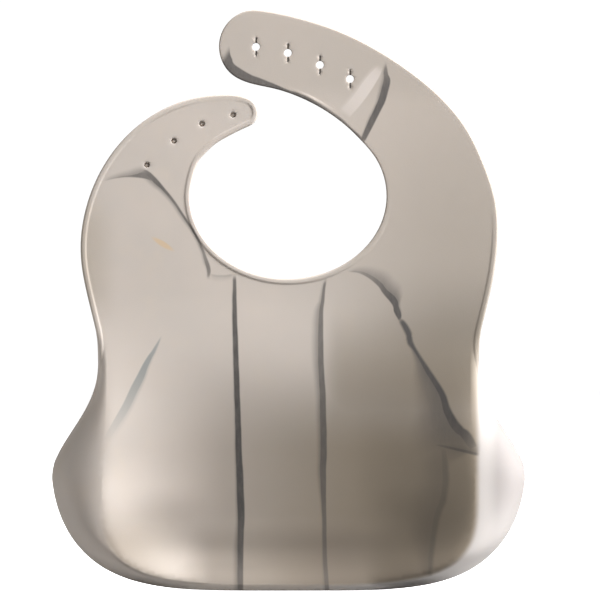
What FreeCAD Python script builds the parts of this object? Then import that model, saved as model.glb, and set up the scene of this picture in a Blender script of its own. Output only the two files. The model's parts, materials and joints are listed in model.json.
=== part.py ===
"""Silicone catch bib for a baby: a flat apron with a dished back panel, a scoop pocket along the bottom,
and two neck straps that button together with pegs and slit holes.

Row frame, in millimetres: +Z is up towards the neck, the pocket faces -Y, and +X is the wearer's left.
The origin is the centre of the neck opening, in the middle of the sheet's thickness.
The object is one flexible moulding. Each solid is a region of it that keeps its shape while the silicone
between the regions bends, so the gaps between solids are the bending zones."""
import FreeCAD
import Part
import math
import os
from FreeCAD import Vector

os.makedirs("parts", exist_ok=True)

# ---------------------------------------------------------------- driving dimensions
WEB = 1.6              # thickness of the plain silicone sheet
BEAD = 2.6             # thickness of the rolled edge around the apron and straps
BEAD_WIDTH = 3.2       # how far the rolled edge reaches in from the outline
BEAD_ROUND = 0.9       # rounding of its outer corners
NECK_A = 50.8          # half-width of the oval neck opening
NECK_B = 42.8          # half-height of the oval neck opening

CHEST_HALF = 107.8     # half-width of the apron at its widest, beside the neck
CHEST_EASE = 0.85      # below 1 keeps the sides fuller on their way down to the waist
CHEST_Z = -26.0
WAIST_HALF = 97.8      # half-width at the waist, just above the pocket
WAIST_Z = -84.0

FOLD_Z = -69.0         # height of the line across which the apron folds
FOLD_GAP = 5.8         # clear strip between the two halves of the fold

RIDGE_TOP_HALF = 94.0  # half-width of the back panel where the pocket starts
RIDGE_HALF = 97.0      # half-width of the back panel at its widest, inside the pocket
RIDGE_Z = -150.0       # where the side of the back panel turns into its rounded foot
RIDGE_DROP = 52.0      # from there down to the foot of the back panel
RIDGE_POWER = 3.6
FLARE_HALF = 122.8     # half-width of the pocket at its widest
FLARE_Z = -147.0
FLARE_DROP = 57.9      # from there down to the underside of the pocket
FLARE_TAPER = 0.1      # how much the sides lean inwards on the way down
FLARE_ROUND_X = 4.5
FLARE_ROUND_Z = 2.2
FLARE_TOP_Z = -86.0    # where the pocket's side rim leaves the edge of the apron
FLARE_EASE = 1.2

SWELL_TOP_Z = -66.0    # where the edge starts to lean towards the pocket
SWELL_EASE = 1.0
SIDE_DEPTH = 22.0      # how far in front of the sheet the pocket is widest
POCKET_DEPTH = 50.0    # how far the front of the pocket stands off the sheet
WALL_POWER = 2.6       # roundness of the pocket's front wall
RIM_CORNER_Z = -141.0  # where the side rim turns the corner into the front rim
RIM_DIP = 5.0          # how much lower the front rim is at its middle
RIM_RADIUS = 1.6
LEAN_TOP_Z = -58.0     # where the back panel starts to lean towards the pocket
LEAN_EASE = 50.0       # height over which the lean sets in
LEAN = 0.2             # slope of the panel further down
DISH_SIDE = 60.0       # width of the dish's side walls
DISH_FOOT = 24.0       # height of the dish's foot
DISH_CREST = 3.0       # rounding of the crest round the dish
FOOT_SINK = 18.5       # how far the crest is sunk along the middle of the foot
FOOT_SINK_HALF = 92.0  # half-width over which it is sunk at all
FOOT_LEVEL_HALF = 40.0 # half-width over which it is sunk fully
FOOT_SINK_Z = -150.0

PEG_PITCH_POINTS = [(73.3, 16.1), (59.3, 28.5), (44.8, 37.3), (28.7, 42.0)]
HOLE_POINTS = [(16.8, 77.2), (0.3, 74.1), (-16.3, 67.9), (-31.9, 60.6)]
HOLE_RADIUS = 2.0
SLIT_LENGTH = 9.8      # tip to tip, through the middle of the hole
SLIT_WIDTH = 0.5
STEM_RADIUS = 1.8
STEM_HEIGHT = 2.8      # from the sheet's front face to the underside of the head
HEAD_RADIUS = 3.7
HEAD_HEIGHT = 2.4
DIMPLE_RADIUS = 1.5
DIMPLE_DEPTH = 1.5

# Strap bending lines: a point on the line and the line's direction, in the sheet's plane.
PEG_ROOT_BEND = ((75.26, -27.12), (-0.9862, 0.1653))
PEG_TIP_BEND = ((52.00, 33.77), (-0.9511, -0.3090))
HOLE_ROOT_BEND = ((-78.09, -17.38), (-0.9112, -0.4119))
HOLE_TIP_BEND = ((-46.88, 50.25), (-0.2800, 0.9600))
ROOT_BEND_GAP = 3.2
TIP_BEND_GAP = 1.8

JOIN_GAP = 0.5         # clear line between regions that don't move apart
EDGE_GAP = 1.0         # clear line between the back panel and the rolled edge beside it
CREST_GAP = 0.9        # clear line on each side of the crest round the dish
MOUTH_GAP = 1.4        # clear line around the pocket's front wall, which opens


# ---------------------------------------------------------------- plane curves of the apron
def smooth(t):
    """Eases from 0 to 1."""
    t = min(1.0, max(0.0, t))
    return t * t * (3 - 2 * t)


def side_half(z):
    """Half-width of the apron above the pocket."""
    return WAIST_HALF + (CHEST_HALF - WAIST_HALF) * smooth((z - WAIST_Z) / (CHEST_Z - WAIST_Z)) ** CHEST_EASE


def flare_half(z):
    """Half-width of the pocket, from the waist down to its widest line."""
    t = (FLARE_TOP_Z - z) / (FLARE_TOP_Z - FLARE_Z)
    return WAIST_HALF + (FLARE_HALF - WAIST_HALF) * smooth(max(0.0, t) ** FLARE_EASE)


def flare_foot(turn):
    """Point of the pocket's outline below its widest line: turn runs from 0 degrees at the side to 90 at the
    middle of the underside."""
    c, k = max(0.0, math.cos(math.radians(turn))), math.sin(math.radians(turn))
    drop = FLARE_DROP * k ** (2 / FLARE_ROUND_Z)
    return Vector((FLARE_HALF - FLARE_TAPER * drop) * c ** (2 / FLARE_ROUND_X), -SIDE_DEPTH, FLARE_Z - drop)


def ridge_half(z):
    """Half-width of the back panel, measured to the crest where it rolls over into the pocket."""
    if z > RIDGE_Z:
        t = (z - RIDGE_Z) / (FLARE_TOP_Z - RIDGE_Z)
        return RIDGE_HALF + (RIDGE_TOP_HALF - RIDGE_HALF) * smooth(t * 1.5)
    drop = min(1.0, (RIDGE_Z - z) / RIDGE_DROP)
    return RIDGE_HALF * (1 - drop ** RIDGE_POWER) ** (1 / RIDGE_POWER)


def arc(centre, radius, start, end, count):
    """Points along a circular arc in the sheet's plane; angles in degrees from +X towards +Z."""
    angles = [math.radians(start + (end - start) * i / (count - 1)) for i in range(count)]
    return [(centre[0] + radius * math.cos(a), centre[1] + radius * math.sin(a)) for a in angles]


def oval(centre, half_x, half_z, start, end, count):
    """Points along an ellipse in the sheet's plane."""
    angles = [math.radians(start + (end - start) * i / (count - 1)) for i in range(count)]
    return [(centre[0] + half_x * math.cos(a), centre[1] + half_z * math.sin(a)) for a in angles]


def upper_outline():
    """Closed wire around the sheet above the fold's lower edge: sides, both straps and the neck opening."""
    foot = FOLD_Z + FOLD_GAP / 2
    heights = [foot, foot + 10, foot + 20, foot + 30]
    hole_outer = [(-108.4, -22), (-107.4, -4), (-100.4, 18.6), (-92.1, 35.2), (-78.2, 51.9)]
    hole_outer += [(-57.2, 68.6), (-27.2, 85), (-6, 92)]
    hole_tip = arc((17.0, 77.4), 19.0, 104, -74, 8)
    hole_inner = [(7.5, 55.6), (-7, 50.6), (-20.5, 43.3), (-31.0, 35.3)]
    neck = oval((0, 0), NECK_A, NECK_B, 138, 376, 17)
    peg_inner = [(46.3, 18.2), (42.6, 22.5), (38.3, 26.5), (31.7, 30.6)]
    peg_tip = arc((23.6, 43.2), 7.9, 256, 104, 6)
    peg_outer = oval((34.4, -29), CHEST_HALF - 34.4, 81.3, 90, 6, 8)
    points = [(-side_half(z), z) for z in heights] + hole_outer + hole_tip + hole_inner + neck
    points += peg_inner + peg_tip + peg_outer + [(side_half(z), z) for z in reversed(heights)]
    return closed([Vector(x, 0, z) for x, z in points])


def closed(points):
    """Closed wire: a smooth curve through the points, and a straight line from its end to its start."""
    curve = Part.BSplineCurve()
    curve.interpolate(points)
    return Part.Wire([curve.toShape(), Part.makeLine(points[-1], points[0])])


def inset(outline, distance, count=150):
    """The outline's smooth curve moved inwards, and carried on below its straight foot."""
    curve = outline.Edges[0].Curve
    first, last = curve.FirstParameter, curve.LastParameter
    points = []
    for i in range(count + 1):
        at = first + (last - first) * i / count
        inward = Vector(0, 1, 0).cross(curve.tangent(at)[0])
        points.append(curve.value(at) + inward * distance)
    below = Vector(0, 0, -2 * distance)
    return closed([points[0] + below] + points + [points[-1] + below])


def slab(wire, thickness):
    """The area inside a wire of the sheet's plane, as a solid centred on that plane."""
    face = Part.Face(wire)
    face.translate(Vector(0, -thickness / 2, 0))
    return face.extrude(Vector(0, thickness, 0))


def across(bend, gap, reach):
    """A bar that clears the bending zone along one bending line."""
    (x, z), (dx, dz) = bend
    bar = Part.makeBox(2 * reach, 4 * BEAD, gap, Vector(-reach, -2 * BEAD, -gap / 2))
    bar.rotate(Vector(0, 0, 0), Vector(0, 1, 0), -math.degrees(math.atan2(dz, dx)))
    bar.translate(Vector(x, 0, z))
    return bar


def through(x, z, radius, depth=4 * BEAD):
    """A round bar square to the sheet."""
    return Part.makeCylinder(radius, depth, Vector(x, -depth / 2, z), Vector(0, 1, 0))


def strap_cuts():
    """Everything that is cut out of the straps: round holes with a slit above and below, and the peg seats."""
    cuts = [through(x, z, STEM_RADIUS) for x, z in PEG_PITCH_POINTS]
    for x, z in HOLE_POINTS:
        cuts.append(through(x, z, HOLE_RADIUS))
        corner = Vector(x - SLIT_WIDTH / 2, -2 * BEAD, z - SLIT_LENGTH / 2)
        cuts.append(Part.makeBox(SLIT_WIDTH, 4 * BEAD, SLIT_LENGTH, corner))
    return cuts


def upper_sheet():
    """The chest panel and the strap regions, keyed by node name."""
    outline = upper_outline()
    web = slab(outline, WEB)
    rolled = slab(outline, BEAD)
    rolled = rolled.makeFillet(BEAD_ROUND, [e for e in rolled.Edges if e.Length > 500])
    rolled = rolled.cut(slab(inset(outline, BEAD_WIDTH), BEAD * 2))
    sheet = web.fuse(rolled).removeSplitter()
    bars = [
        across(PEG_ROOT_BEND, ROOT_BEND_GAP, 42),
        across(PEG_TIP_BEND, TIP_BEND_GAP, 27),
        across(HOLE_ROOT_BEND, ROOT_BEND_GAP, 42),
        across(HOLE_TIP_BEND, TIP_BEND_GAP, 30),
    ]
    regions = sheet.cut(strap_cuts() + bars).Solids
    marks = {
        "chest_panel": Vector(0, 0, -54),
        "peg_strap_root": Vector(78, 0, 5),
        "peg_strap_tip": Vector(36, 0, 40),
        "hole_strap_root": Vector(-80, 0, 15),
        "hole_strap_tip": Vector(-8, 0, 71),
    }
    return {name: next(r for r in regions if r.isInside(p, 0.01, True)) for name, p in marks.items()}


def peg(x, z):
    """One button peg: a hollow-backed stem through the sheet, with a domed head on the front."""
    back, front = WEB / 2, -WEB / 2
    neck = front - STEM_HEIGHT
    crown = neck - HEAD_HEIGHT
    lip = 0.7
    flat = 1.6
    profile = [
        (0, back - DIMPLE_DEPTH), (DIMPLE_RADIUS, back - DIMPLE_DEPTH), (DIMPLE_RADIUS, back),
        (STEM_RADIUS, back), (STEM_RADIUS, neck), (HEAD_RADIUS, neck), (HEAD_RADIUS, neck - lip),
    ]
    outline = [Vector(x + r, y, z) for r, y in profile]
    edges = [Part.makeLine(a, b) for a, b in zip(outline, outline[1:])]
    bulge = Vector(x + (HEAD_RADIUS + flat) / 2 + 0.55, (neck - lip + crown) / 2 - 0.45, z)
    dome_end = Vector(x + flat, crown, z)
    edges.append(Part.Arc(outline[-1], bulge, dome_end).toShape())
    centre = Vector(x, crown, z)
    edges += [Part.makeLine(dome_end, centre), Part.makeLine(centre, outline[0])]
    return Part.Face(Part.Wire(edges)).revolve(Vector(x, 0, z), Vector(0, 1, 0), 360)


# ---------------------------------------------------------------- curved shells of the pocket
def skin(grid, thickness):
    """A closed shell of even thickness around a grid of points on its middle surface."""
    rows, columns = len(grid), len(grid[0])

    def normal(i, j):
        along = grid[min(i + 1, rows - 1)][j] - grid[max(i - 1, 0)][j]
        over = grid[i][min(j + 1, columns - 1)] - grid[i][max(j - 1, 0)]
        return along.cross(over).normalize()

    sides = []
    for sign in (1, -1):
        surface = Part.BSplineSurface()
        step = sign * thickness / 2
        surface.interpolate([[grid[i][j] + normal(i, j) * step for j in range(columns)] for i in range(rows)])
        sides.append(surface)
    u0, u1, v0, v1 = sides[0].bounds()
    w0, w1, x0, x1 = sides[1].bounds()
    faces = [s.toShape() for s in sides]
    for first, second in ((sides[0].uIso(u0), sides[1].uIso(w0)), (sides[0].uIso(u1), sides[1].uIso(w1)),
                          (sides[0].vIso(v0), sides[1].vIso(x0)), (sides[0].vIso(v1), sides[1].vIso(x1))):
        faces.append(Part.makeRuledSurface(first.toShape(), second.toShape()))
    shell = Part.Shell(faces)
    shell.sewShape()
    solid = Part.Solid(shell)
    if solid.Volume < 0:
        solid.reverse()
    return solid


def wall(distance, width):
    """Share of the dish's full depth at a distance inside its crest: steep at first, level at the width."""
    clear = max(distance, 0.0)
    t = min(1.0, clear * clear / (clear + DISH_CREST) / width)
    return 1 - (1 - t) ** 2


def crest_sink(x, z):
    """How far the crest round the dish sinks towards the pocket; only its foot does."""
    across = smooth((FOOT_SINK_HALF - abs(x)) / (FOOT_SINK_HALF - FOOT_LEVEL_HALF))
    return FOOT_SINK * across * smooth((FOOT_SINK_Z - z) / 35)


def dish(x, z, half):
    """How far the back panel's middle surface sinks behind the sheet's plane, towards the pocket. half is the
    distance from the middle to the crest at that height."""
    t = max(0.0, LEAN_TOP_Z - z)
    depth = LEAN * (t * t / (2 * LEAN_EASE) if t < LEAN_EASE else t - LEAN_EASE / 2)
    share = wall(half - abs(x), DISH_SIDE) * wall(z - RIDGE_Z + RIDGE_DROP, DISH_FOOT)
    sink = crest_sink(x, z)
    return sink + (depth - sink) * share


def back_panel():
    """The panel behind the pocket: flat at the fold, dished lower down, with a rounded foot."""
    head = FOLD_Z - FOLD_GAP / 2
    levels = [head + (RIDGE_Z - head) * i / 12 for i in range(12)]
    levels += [RIDGE_Z - (RIDGE_DROP - 2 * CREST_GAP) * math.sin(math.radians(7.5 * i)) for i in range(13)]
    grid = []
    for z in levels:
        crest = side_half(z) - BEAD_WIDTH if z > WAIST_Z else ridge_half(z)
        half = side_half(z) - BEAD_WIDTH - EDGE_GAP
        if z < WAIST_Z:
            half = min(half, ridge_half(z - CREST_GAP) - CREST_GAP)
        xs = [half * math.sin(math.radians(90 * j / 14)) for j in range(-14, 15)]
        grid.append([Vector(x, -dish(x, z, crest), z) for x in xs])
    return skin(grid, WEB)


def swell(z):
    """How far the free edge leans towards the pocket, from the fold down to the pocket's widest line."""
    return SIDE_DEPTH * smooth(max(0.0, (SWELL_TOP_Z - z) / (SWELL_TOP_Z - FLARE_Z)) ** SWELL_EASE)


def ridge_and_flare(s):
    """Crest of the back panel and widest line of the pocket, going down the wearer's left side.
    s runs 0 to 1 from the waist to where the foot starts to round, and 1 to 2 round to the middle."""
    if s <= 1:
        z = FLARE_TOP_Z + (FLARE_Z - FLARE_TOP_Z) * s
        return Vector(ridge_half(z), 0, z), Vector(flare_half(z), -swell(z), z)
    turn = 90 * (s - 1)
    c, k = max(0.0, math.cos(math.radians(turn))), math.sin(math.radians(turn))
    top = FLARE_Z + (RIDGE_Z - FLARE_Z) * smooth((s - 1) * 4)
    ridge = Vector(RIDGE_HALF * c ** (2 / RIDGE_POWER), 0, top - RIDGE_DROP * k ** (2 / RIDGE_POWER))
    ridge.y = -crest_sink(ridge.x, ridge.z)
    return ridge, flare_foot(turn)


def roll_point(s, t):
    """Point on the rolled wall between the back panel's crest (t = 0) and the widest line (t = 1)."""
    mirror = -1 if s > 2 else 1
    ridge, flare = ridge_and_flare(4 - s if s > 2 else s)
    turn = math.radians(90 * t)
    out, fall = math.sin(turn), 1 - math.cos(turn)
    x = ridge.x + (flare.x - ridge.x) * out
    z = ridge.z + (flare.z - ridge.z) * out
    return Vector(mirror * x, ridge.y + (flare.y - ridge.y) * fall, z)


def roll_row(s):
    """Evenly spaced points across the rolled wall, kept clear of the back panel and of the rim or front wall."""
    fine = [roll_point(s, i / 60) for i in range(61)]
    travelled = [0.0]
    for a, b in zip(fine, fine[1:]):
        travelled.append(travelled[-1] + (b - a).Length)
    start, end = CREST_GAP, travelled[-1] - RIM_RADIUS - JOIN_GAP
    row = []
    for j in range(7):
        where = start + (end - start) * j / 6
        k = next(i for i in range(1, 61) if travelled[i] >= where)
        share = (where - travelled[k - 1]) / (travelled[k] - travelled[k - 1])
        row.append(fine[k - 1] + (fine[k] - fine[k - 1]) * share)
    return row


def roll(s_start, s_end, count):
    """A stretch of the rolled wall as a shell."""
    grid = [roll_row(s_start + (s_end - s_start) * i / count) for i in range(count + 1)]
    return skin(grid, WEB)


def rim_height(u):
    """Height of the pocket's front rim; u is -1 at one corner and 1 at the other."""
    return RIM_CORNER_Z - RIM_DIP * (1 - u * u)


def front_point(side, turn, drop=0.0):
    """Point on the pocket's front wall. side runs across from -1 to 1, and turn runs from 0 degrees at the rim
    to 90 at the underside; drop lowers the start by that much."""
    edge = flare_foot(90 * (1 - abs(side)))
    u = edge.x / FLARE_HALF
    top = rim_height(u) - drop
    down = math.sin(math.radians(turn)) ** (2 / WALL_POWER)
    out = math.cos(math.radians(turn)) ** (2 / WALL_POWER)
    bulge = (1 - u ** WALL_POWER) ** (1 / WALL_POWER)
    depth = SIDE_DEPTH + MOUTH_GAP + (POCKET_DEPTH - SIDE_DEPTH - MOUTH_GAP) * bulge * out
    return Vector(math.copysign(edge.x, side), -depth, top + (edge.z - top) * down)


def places_across(reach, count):
    """Places across the front wall, from -reach to reach."""
    return [reach * (2 * i / count - 1) for i in range(count + 1)]


def front_wall():
    """The pocket's front wall, which opens forward."""
    turns = [6.4 * i for i in range(15)]
    start = RIM_RADIUS + JOIN_GAP
    grid = [[front_point(side, turn, start) for side in places_across(0.97, 28)] for turn in turns]
    return skin(grid, WEB)


def bead_along(points):
    """A round bead swept along a smooth line of points."""
    curve = Part.BSplineCurve()
    curve.interpolate(points)
    edge = curve.toShape()
    start = curve.value(curve.FirstParameter)
    circle = Part.makeCircle(RIM_RADIUS, start, curve.tangent(curve.FirstParameter)[0])
    return Part.Wire([edge]).makePipeShell([Part.Wire([circle])], True, True)


def side_rim(mirror):
    """The rolled edge from the fold down past the waist, where it becomes the rim of the pocket's cheek."""
    start = FOLD_Z - FOLD_GAP / 2
    last = (FLARE_TOP_Z - RIM_CORNER_Z) / (FLARE_TOP_Z - FLARE_Z)
    points = [Vector(side_half(z) - RIM_RADIUS, -swell(z), z) for z in (start, start - 5, start - 10)]
    points += [roll_point(0.1 + (last - 0.1) * i / 8, 1) for i in range(9)]
    return bead_along([Vector(mirror * p.x, p.y, p.z) for p in points])


def front_rim():
    """The bead on top of the pocket's front wall."""
    return bead_along([front_point(side, 0) for side in places_across(0.95, 28)])


def build():
    """Every node of the bib, keyed by its name."""
    nodes = upper_sheet()
    for number, (x, z) in enumerate(PEG_PITCH_POINTS, start=1):
        nodes[f"peg_{number}"] = peg(x, z)
    nodes["back_panel"] = back_panel()
    nodes["pocket_cheek_left"] = roll(0.1, 1.49, 22)
    nodes["pocket_floor"] = roll(1.5, 2.5, 20)
    nodes["pocket_cheek_right"] = roll(3.9, 2.51, 22)
    nodes["side_rim_left"] = side_rim(1)
    nodes["side_rim_right"] = side_rim(-1)
    nodes["pocket_front"] = front_wall()
    nodes["pocket_front_rim"] = front_rim()
    return nodes


for name, solid in build().items():
    assert solid.isValid() and solid.Volume > 0, name
    solid.exportStep(f"parts/{name}.step")
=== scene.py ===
"""Looks of the silicone bib: one smooth silicone skin, cut into closed patches.

Lengths are in millimetres in the row frame (+Z up to the neck, the pocket faces -Y) until a mesh is made.
The skin is worked out as a middle surface with a half-thickness at every point, then given its two faces."""
import json
import math

import bpy
import numpy as np
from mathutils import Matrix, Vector
from mathutils.geometry import delaunay_2d_cdt


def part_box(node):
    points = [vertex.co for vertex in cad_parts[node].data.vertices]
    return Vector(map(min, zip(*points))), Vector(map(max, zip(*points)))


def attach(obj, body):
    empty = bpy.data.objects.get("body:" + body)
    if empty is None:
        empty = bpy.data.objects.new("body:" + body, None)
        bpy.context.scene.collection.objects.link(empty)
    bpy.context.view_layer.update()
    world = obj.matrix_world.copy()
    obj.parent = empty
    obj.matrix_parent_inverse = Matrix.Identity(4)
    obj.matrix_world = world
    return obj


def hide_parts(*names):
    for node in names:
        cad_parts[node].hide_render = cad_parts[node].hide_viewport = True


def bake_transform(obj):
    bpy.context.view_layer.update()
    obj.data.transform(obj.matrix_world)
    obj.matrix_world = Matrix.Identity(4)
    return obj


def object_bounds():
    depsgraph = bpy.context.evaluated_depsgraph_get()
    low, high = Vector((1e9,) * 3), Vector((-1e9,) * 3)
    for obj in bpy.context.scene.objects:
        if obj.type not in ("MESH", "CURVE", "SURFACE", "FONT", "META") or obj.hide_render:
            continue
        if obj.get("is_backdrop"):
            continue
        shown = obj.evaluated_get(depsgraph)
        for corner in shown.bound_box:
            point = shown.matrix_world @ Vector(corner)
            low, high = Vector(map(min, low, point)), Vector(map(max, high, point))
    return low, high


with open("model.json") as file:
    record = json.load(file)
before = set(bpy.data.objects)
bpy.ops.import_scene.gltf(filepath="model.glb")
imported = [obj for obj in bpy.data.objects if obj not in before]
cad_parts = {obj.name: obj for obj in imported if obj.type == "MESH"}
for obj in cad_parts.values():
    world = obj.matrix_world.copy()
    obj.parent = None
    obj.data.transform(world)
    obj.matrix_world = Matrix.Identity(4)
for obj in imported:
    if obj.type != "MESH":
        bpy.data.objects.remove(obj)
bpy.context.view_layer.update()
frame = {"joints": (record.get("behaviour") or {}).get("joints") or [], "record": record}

MM = 0.001
joints = {j["name"]: j for j in frame["joints"]}
mounts = {m["name"]: m for m in frame["record"]["mounts"]}


# ---------------------------------------------------------------- driving dimensions
WEB = 0.8                                       # half-thickness of the plain sheet
BEAD = 1.12                                     # half-thickness of the rolled edge
RIM = 1.6                                       # half-thickness of the pocket's rim
STRIP = 3.8                                     # width of the band that carries the rolled edge
NECK_A, NECK_B = 50.8, 42.8                     # half-width and half-height of the neck opening

CHEST_HALF = 107.8
CHEST_EASE = 0.85
CHEST_Z = -26.0
WAIST_HALF = 97.8
WAIST_Z = -84.0

RIDGE_TOP_HALF = WAIST_HALF - STRIP
RIDGE_HALF = 97.0
RIDGE_Z = -150.0
RIDGE_DROP = 52.0
RIDGE_POWER = 3.6
FLARE_HALF = 122.8
FLARE_Z = -147.0
FLARE_DROP = 57.9
FLARE_TAPER = 0.1
FLARE_ROUND_X = 4.5
FLARE_ROUND_Z = 2.2
FLARE_TOP_Z = -86.0
FLARE_EASE = 1.2
SWELL_TOP_Z = -66.0                             # where the edge starts to lean towards the pocket

SIDE_DEPTH = 22.0
POCKET_DEPTH = 50.0
WALL_POWER = 2.6
RIM_CORNER_Z = -141.0
RIM_DIP = 5.0
LEAN_TOP_Z = -58.0                              # where the back panel starts to lean towards the pocket
LEAN_EASE = 50.0
LEAN = 0.2                                      # its slope further down
DISH_SIDE = 60.0
DISH_FOOT = 34.0
DISH_CREST = 3.0                                # rounding of the crest round the dish
FOOT_SINK = 18.5                                # how far that crest is sunk along the middle of the foot
FOOT_SINK_HALF = 92.0
FOOT_LEVEL_HALF = 40.0
FOOT_SINK_Z = -150.0

HOLES = [mounts[f"strap_hole_{i}"] for i in range(1, 5)]
HOLE_CENTRES = [(m["pos_m"][0] / MM, m["pos_m"][2] / MM) for m in HOLES]
HOLE_RADIUS = HOLES[0]["dims"]["r_mm"]
SLIT_REACH = 4.9                                # from the hole's centre to the slit's tip
SLIT_LIP = 0.34                                 # half-width of the slit's parted lips
PEGS = ["peg_1", "peg_2", "peg_3", "peg_4"]
DIMPLE_RADIUS = 1.5

EDGE_STEP = 1.4                                 # spacing of points along the free edge
FIELD_STEP = 2.3                                # spacing of points inside the sheet
ROLL_RINGS = 16
FRONT_RINGS = 30


# ---------------------------------------------------------------- curves
def smooth(t):
    """Eases from 0 to 1."""
    t = np.clip(t, 0.0, 1.0)
    return t * t * (3 - 2 * t)


def lengths(points):
    """Distance travelled along a line of points, at each of them."""
    return np.concatenate([[0.0], np.cumsum(np.linalg.norm(np.diff(points, axis=0), axis=1))])


def at_lengths(points, where):
    """Points of a polyline at the given distances along it."""
    travelled = lengths(points)
    return np.stack([np.interp(where, travelled, points[:, k]) for k in range(points.shape[1])], axis=1)


def spline(knots, step):
    """Evenly spaced points on the natural cubic spline through the knots."""
    p = np.array(knots, float)
    t = lengths(p)
    h = np.diff(t)
    n = len(p)
    system = np.eye(n)
    right = np.zeros((n, 2))
    for i in range(1, n - 1):
        system[i, i - 1:i + 2] = h[i - 1], 2 * (h[i - 1] + h[i]), h[i]
        right[i] = 6 * ((p[i + 1] - p[i]) / h[i] - (p[i] - p[i - 1]) / h[i - 1])
    bend = np.linalg.solve(system, right)
    fine = np.linspace(0, t[-1], 6000)
    i = np.clip(np.searchsorted(t, fine, side="right") - 1, 0, n - 2)
    a, b, w = (t[i + 1] - fine)[:, None], (fine - t[i])[:, None], h[i][:, None]
    curve = (bend[i] * a ** 3 + bend[i + 1] * b ** 3) / (6 * w)
    curve += (p[i] / w - bend[i] * w / 6) * a + (p[i + 1] / w - bend[i + 1] * w / 6) * b
    total = lengths(curve)[-1]
    return at_lengths(curve, np.linspace(0, total, int(round(total / step)) + 1))


def oval(centre, half_x, half_z, start, end, count):
    """Points along an ellipse, angles in degrees from +X towards +Z."""
    turns = np.radians(np.linspace(start, end, count))
    return [(centre[0] + half_x * math.cos(a), centre[1] + half_z * math.sin(a)) for a in turns]


def side_half(z):
    """Half-width of the apron above the pocket."""
    return WAIST_HALF + (CHEST_HALF - WAIST_HALF) * smooth((z - WAIST_Z) / (CHEST_Z - WAIST_Z)) ** CHEST_EASE


def flare_half(z):
    """Half-width of the pocket between the waist and its widest line."""
    t = max(0.0, (FLARE_TOP_Z - z) / (FLARE_TOP_Z - FLARE_Z))
    return WAIST_HALF + (FLARE_HALF - WAIST_HALF) * smooth(t ** FLARE_EASE)


def ridge_half(z):
    """Half-width of the back panel at its crest; works on arrays."""
    rise = 1.5 * (z - RIDGE_Z) / (FLARE_TOP_Z - RIDGE_Z)
    upper = RIDGE_HALF + (RIDGE_TOP_HALF - RIDGE_HALF) * smooth(rise)
    drop = np.clip((RIDGE_Z - z) / RIDGE_DROP, 0, 1)
    lower = RIDGE_HALF * (1 - drop ** RIDGE_POWER) ** (1 / RIDGE_POWER)
    return np.where(z > RIDGE_Z, upper, lower)


def swell(z):
    """How far the free edge leans towards the pocket, from the chest down to the pocket's widest line."""
    t = np.clip((SWELL_TOP_Z - z) / (SWELL_TOP_Z - FLARE_Z), 0, 1)
    return SIDE_DEPTH * smooth(t)


def wall(distance, width):
    """Share of the dish's full depth at a distance inside its crest: steep at first, level at the width."""
    clear = np.maximum(distance, 0.0)
    t = np.minimum(1.0, clear ** 2 / (clear + DISH_CREST) / width)
    return 1 - (1 - t) ** 2


def crest_sink(x, z):
    """How far the crest round the dish sinks towards the pocket; only its foot does."""
    across = smooth((FOOT_SINK_HALF - np.abs(x)) / (FOOT_SINK_HALF - FOOT_LEVEL_HALF))
    return FOOT_SINK * across * smooth((FOOT_SINK_Z - z) / 35)


def dish(x, z):
    """How far the back panel sinks towards the pocket; works on arrays."""
    t = np.maximum(0.0, LEAN_TOP_Z - z)
    depth = LEAN * np.where(t < LEAN_EASE, t * t / (2 * LEAN_EASE), t - LEAN_EASE / 2)
    crest = np.where(z > FLARE_TOP_Z, side_half(z) - STRIP, ridge_half(z))
    share = wall(crest - np.abs(x), DISH_SIDE) * wall(z - RIDGE_Z + RIDGE_DROP, DISH_FOOT)
    sink = crest_sink(x, z)
    return sink + (depth - sink) * share


def sheet_edge():
    """The free edge from the waist on -X, round both straps and the neck, to the waist on +X."""
    heights = [FLARE_TOP_Z, FLARE_TOP_Z + 10, -66.1, -56.1, -46.1, -36.1]
    sides = [(-float(side_half(z)), z) for z in heights]
    hole_outer = [(-108.4, -22), (-107.4, -4), (-100.4, 18.6), (-92.1, 35.2), (-78.2, 51.9)]
    hole_outer += [(-57.2, 68.6), (-27.2, 85), (-6, 92)]
    hole_tip = oval((17.0, 77.4), 19, 19, 104, -74, 8)
    hole_inner = [(7.5, 55.6), (-7, 50.6), (-20.5, 43.3), (-31, 35.3)]
    neck = oval((0, 0), NECK_A, NECK_B, 138, 376, 17)
    peg_inner = [(46.3, 18.2), (42.6, 22.5), (38.3, 26.5), (31.7, 30.6)]
    peg_tip = oval((23.6, 43.2), 7.9, 7.9, 256, 104, 6)
    peg_outer = oval((34.4, -29), CHEST_HALF - 34.4, 81.3, 90, 6, 8)
    knots = sides + hole_outer + hole_tip + hole_inner + neck + peg_inner + peg_tip + peg_outer
    return spline(knots + [(-x, z) for x, z in reversed(sides)], EDGE_STEP)


def crest_and_flare(s):
    """Crest of the back panel and widest line of the pocket on the +X side: s runs 0 to 1 from the waist
    to the widest point, and 1 to 2 round the foot to the middle."""
    if s <= 1:
        z = FLARE_TOP_Z + (FLARE_Z - FLARE_TOP_Z) * s
        return np.array([ridge_half(z), 0, z]), np.array([flare_half(z), -swell(z), z])
    turn = math.radians(90 * (s - 1))
    c, k = max(0.0, math.cos(turn)), math.sin(turn)
    top = FLARE_Z + (RIDGE_Z - FLARE_Z) * smooth((s - 1) * 4)
    crest = np.array([RIDGE_HALF * c ** (2 / RIDGE_POWER), 0, top - RIDGE_DROP * k ** (2 / RIDGE_POWER)])
    crest[1] = -crest_sink(crest[0], crest[2])
    drop = FLARE_DROP * k ** (2 / FLARE_ROUND_Z)
    half = (FLARE_HALF - FLARE_TAPER * drop) * c ** (2 / FLARE_ROUND_X)
    return crest, np.array([half, -SIDE_DEPTH, FLARE_Z - drop])


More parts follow.
